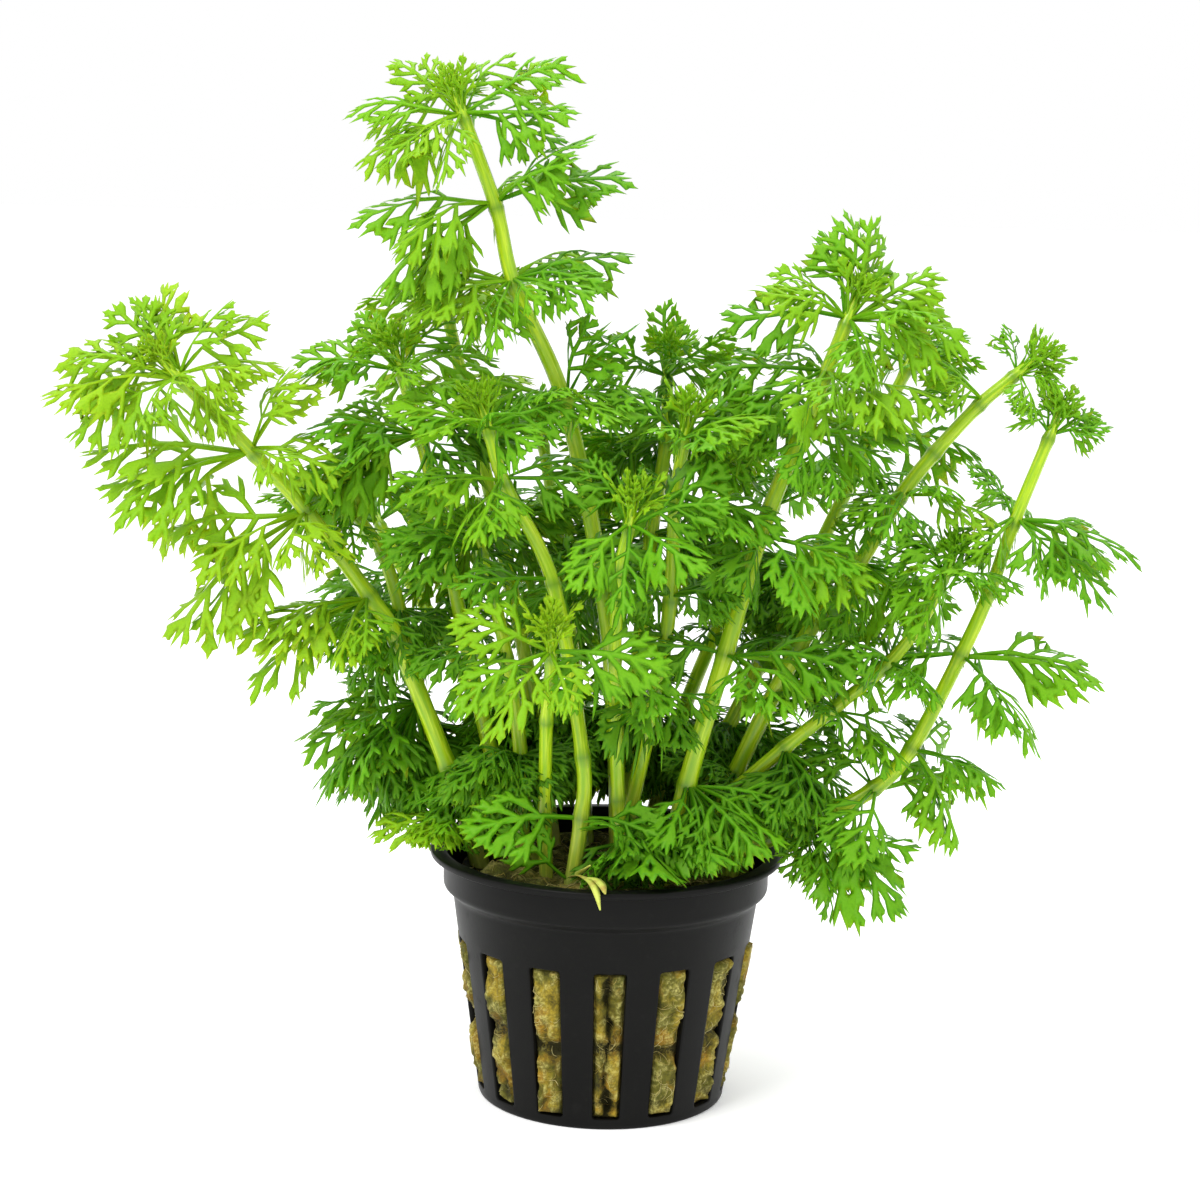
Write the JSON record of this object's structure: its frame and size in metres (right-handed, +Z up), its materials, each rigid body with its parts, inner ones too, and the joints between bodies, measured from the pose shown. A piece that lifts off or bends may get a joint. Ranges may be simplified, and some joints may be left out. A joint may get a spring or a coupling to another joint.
{
  "type": "potted ambulia",
  "caption": "Bushy aquarium plant with feathery leaf whorls on pale stems, rooted in rockwool in a slotted plastic net pot.",
  "frame": {"origin": "centre of the pot's underside", "axes": "+Z up along the pot's axis, +X to the right of the front view, -Y to the front"},
  "size_m": [0.1677, 0.0954, 0.1614],
  "materials": {
    "plastic": "satin",
    "rockwool": "matte, fibrous",
    "stem": "smooth, satin",
    "leaf": "satin"
  },
  "bodies": {
    "root": {"pot": "plastic", "rockwool": "rockwool", "stem_tall": "stem", "stem_front": "stem", "stem_low_front": "stem", "stem_front_centre": "stem", "stem_mid_left": "stem", "stem_far_left": "stem", "stem_left": "stem", "stem_upper_left": "stem", "stem_back_left": "stem", "stem_centre": "stem", "stem_right": "stem", "stem_right_curl": "stem", "stem_far_right": "stem", "stem_mid_right": "stem", "stem_back_centre": "stem", "stem_back_right": "stem", "stem_back": "stem", "stem_back_low_left": "stem", "stem_back_low_right": "stem", "tip_tall": "leaf", "whorl_front_1": "leaf", "whorl_front_2": "leaf", "tip_front": "leaf", "tip_low_front": "leaf", "tip_front_centre": "leaf", "tip_mid_left": "leaf", "whorl_far_left_1": "leaf", "whorl_far_left_2": "leaf", "whorl_far_left_3": "leaf", "tip_far_left": "leaf", "whorl_left_1": "leaf", "tip_left": "leaf", "tip_upper_left": "leaf", "tip_back_left": "leaf", "whorl_centre_1": "leaf", "whorl_centre_2": "leaf", "tip_centre": "leaf", "whorl_right_1": "leaf", "whorl_right_2": "leaf", "whorl_right_3": "leaf", "tip_right": "leaf", "whorl_right_curl_1": "leaf", "whorl_right_curl_2": "leaf", "tip_right_curl": "leaf", "whorl_far_right_1": "leaf", "whorl_far_right_2": "leaf", "whorl_far_right_3": "leaf", "whorl_far_right_4": "leaf", "tip_far_right": "leaf", "whorl_mid_right_1": "leaf", "whorl_mid_right_2": "leaf", "tip_mid_right": "leaf", "tip_back_centre": "leaf", "tip_back_right": "leaf", "tip_back": "leaf", "tip_back_low_left": "leaf", "tip_back_low_right": "leaf"}
  },
  "joints": []
}
